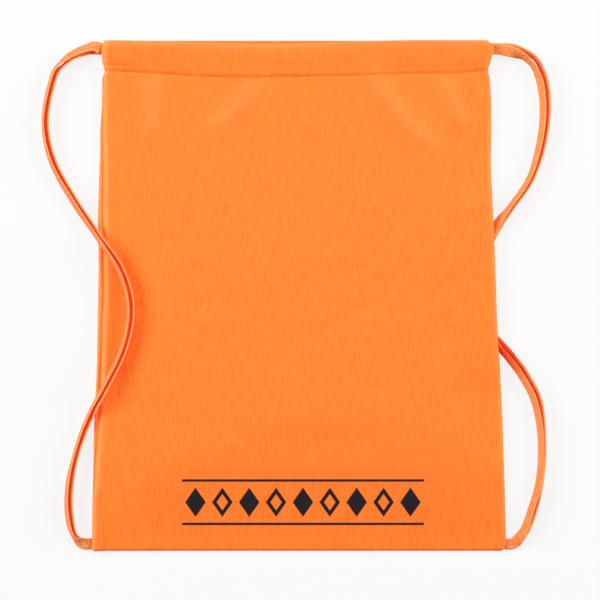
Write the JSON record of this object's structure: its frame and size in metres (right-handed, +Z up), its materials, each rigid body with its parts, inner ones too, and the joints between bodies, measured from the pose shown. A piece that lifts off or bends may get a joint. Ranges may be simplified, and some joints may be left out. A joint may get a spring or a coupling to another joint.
{
  "type": "drawstring stuff sack",
  "caption": "Flat drawstring sack of light cloth, lying on its back, with a hemmed mouth and flat woven drawcords that double as shoulder straps.",
  "frame": {"origin": "on the resting surface, under the middle of the sack's outline", "axes": "+Z up, out of the front panel of the sack as it lies on its back; +Y along the sack towards its mouth; +X to the right, seen from the front"},
  "size_m": [0.4551, 0.457, 0.0181],
  "materials": {
    "sack_cloth": "plain-woven light polyester with a faint heathered grain and a soft sheen",
    "seam_allowance": "cut edges of the same cloth, turned in and overlocked",
    "drawcord_tape": "flat herringbone-woven tape, matt"
  },
  "bodies": {
    "root": {"back_panel": "sack_cloth", "front_panel": "sack_cloth", "left_side_seam": "seam_allowance", "right_side_seam": "seam_allowance", "bottom_seam": "seam_allowance", "left_drawcord_in_hem": "drawcord_tape", "left_front_strap": "drawcord_tape", "left_back_strap": "drawcord_tape", "left_front_strap_end": "drawcord_tape", "left_back_strap_end": "drawcord_tape", "right_drawcord_in_hem": "drawcord_tape", "right_front_strap": "drawcord_tape", "right_back_strap": "drawcord_tape", "right_front_strap_end": "drawcord_tape", "right_back_strap_end": "drawcord_tape"}
  },
  "joints": []
}
